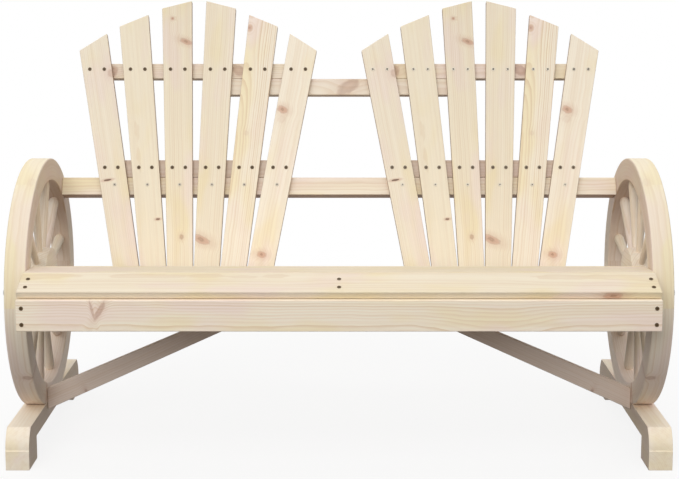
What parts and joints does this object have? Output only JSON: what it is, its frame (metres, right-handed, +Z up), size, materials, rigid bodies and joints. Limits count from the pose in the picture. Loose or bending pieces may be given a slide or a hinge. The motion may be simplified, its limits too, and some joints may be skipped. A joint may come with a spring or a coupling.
{
  "type": "adirondack loveseat",
  "caption": "Two-seat slatted garden loveseat in bare fir, with a fan back and fixed spoked wooden wheels on sledge feet as its ends.",
  "frame": {"origin": "on the floor, in the middle of the loveseat's footprint", "axes": "+Z up, -Y is the front that a sitter faces, +X is the right end as seen from the front"},
  "size_m": [1.2854, 0.62, 0.8893],
  "materials": {
    "rim": "bare planed fir",
    "hub": "bare planed fir",
    "spoke": "bare planed fir",
    "foot": "bare planed fir",
    "seat_slat": "bare planed fir",
    "apron": "bare planed fir",
    "frame": "bare planed fir",
    "strut": "bare planed fir",
    "back_slat": "bare planed fir",
    "batten": "bare planed fir",
    "back_rail": "bare planed fir"
  },
  "bodies": {
    "root": {"rim_left": "rim", "hub_left": "hub", "spoke_left_01": "spoke", "spoke_left_02": "spoke", "spoke_left_03": "spoke", "spoke_left_04": "spoke", "spoke_left_05": "spoke", "spoke_left_06": "spoke", "spoke_left_07": "spoke", "spoke_left_08": "spoke", "spoke_left_09": "spoke", "spoke_left_10": "spoke", "spoke_left_11": "spoke", "spoke_left_12": "spoke", "foot_left": "foot", "rim_right": "rim", "hub_right": "hub", "spoke_right_01": "spoke", "spoke_right_02": "spoke", "spoke_right_03": "spoke", "spoke_right_04": "spoke", "spoke_right_05": "spoke", "spoke_right_06": "spoke", "spoke_right_07": "spoke", "spoke_right_08": "spoke", "spoke_right_09": "spoke", "spoke_right_10": "spoke", "spoke_right_11": "spoke", "spoke_right_12": "spoke", "foot_right": "foot", "seat_slat_1": "seat_slat", "seat_slat_2": "seat_slat", "seat_slat_3": "seat_slat", "seat_slat_4": "seat_slat", "seat_slat_5": "seat_slat", "apron": "apron", "side_rail_left": "frame", "side_rail_right": "frame", "middle_rail": "frame", "rear_rail": "frame", "strut_left": "strut", "strut_right": "strut", "back_slat_left_1": "back_slat", "back_slat_left_2": "back_slat", "back_slat_left_3": "back_slat", "back_slat_left_4": "back_slat", "back_slat_left_5": "back_slat", "back_slat_left_6": "back_slat", "upper_batten_left": "batten", "lower_batten_left": "batten", "back_slat_right_1": "back_slat", "back_slat_right_2": "back_slat", "back_slat_right_3": "back_slat", "back_slat_right_4": "back_slat", "back_slat_right_5": "back_slat", "back_slat_right_6": "back_slat", "upper_batten_right": "batten", "lower_batten_right": "batten", "link_rail": "batten", "back_rail": "back_rail"}
  },
  "joints": []
}
